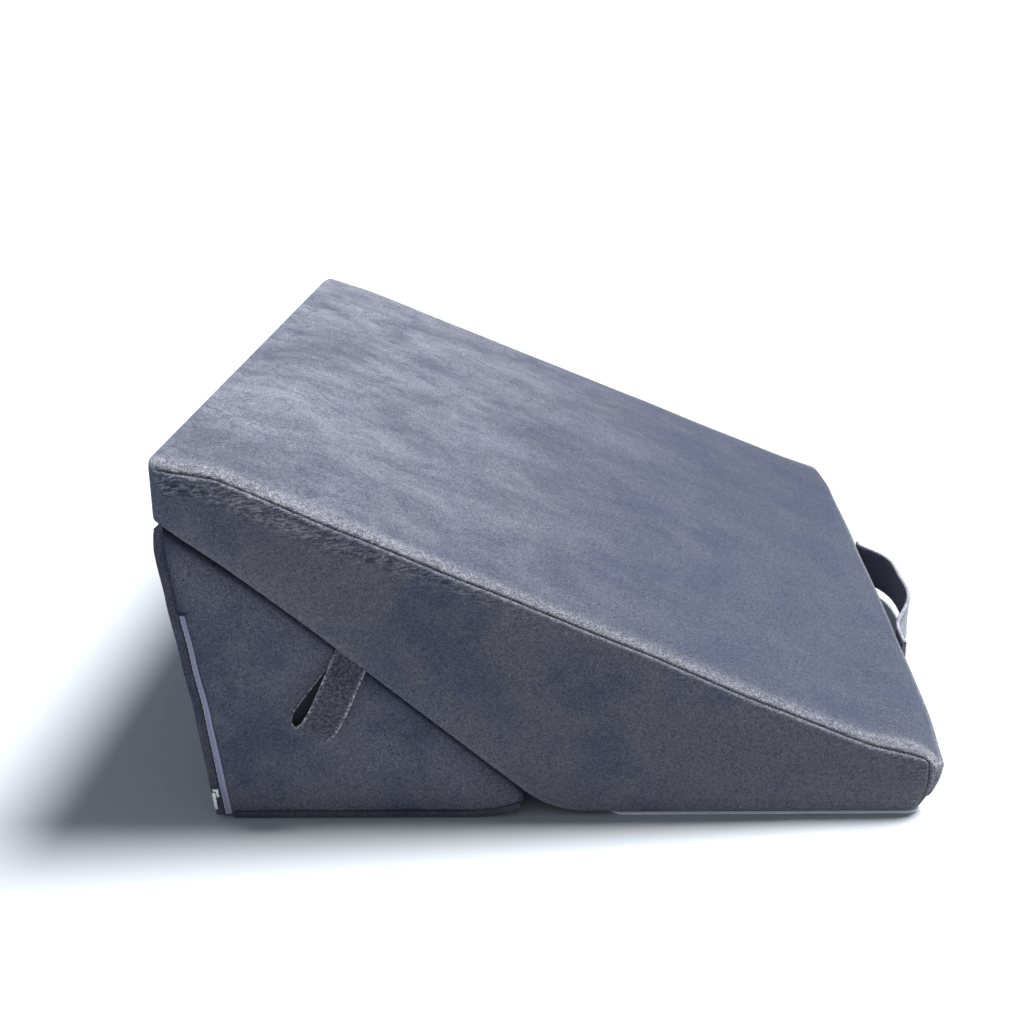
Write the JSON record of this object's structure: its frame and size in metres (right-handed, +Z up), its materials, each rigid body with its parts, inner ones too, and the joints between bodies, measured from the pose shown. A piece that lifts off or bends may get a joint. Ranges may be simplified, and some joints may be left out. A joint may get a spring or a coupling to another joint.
{
  "type": "folding wedge pillow",
  "caption": "Plush foam bed wedge: a sloping cushion propped at its high end on a folded-under support wedge, with a carrying strap, a short side loop and a zip.",
  "frame": {"origin": "centre of the outline as seen from above, on the surface that the pillow stands on", "axes": "+X from the high end towards the low end, +Z up; the zip and the short loop are on the -Y side"},
  "size_m": [0.6211, 0.629, 0.3138],
  "materials": {
    "velvet": "short-pile velvet",
    "dark_velvet": "short-pile velvet",
    "base_cloth": "plain woven",
    "strap": "woven",
    "zip_cloth": "woven",
    "zip_nylon": "moulded",
    "zip_metal": "polished"
  },
  "bodies": {
    "root": {"upper_cushion": "velvet", "lower_wedge": "velvet", "base_panel": "base_cloth", "wedge_binding_near": "dark_velvet", "wedge_binding_far": "dark_velvet", "hinge_strip": "dark_velvet", "zip_facing": "dark_velvet", "zip_tape": "zip_cloth", "zip_coil": "zip_nylon", "zip_slider": "zip_metal", "zip_pull": "zip_metal", "side_loop": "strap", "end_handle": "strap"}
  },
  "joints": []
}
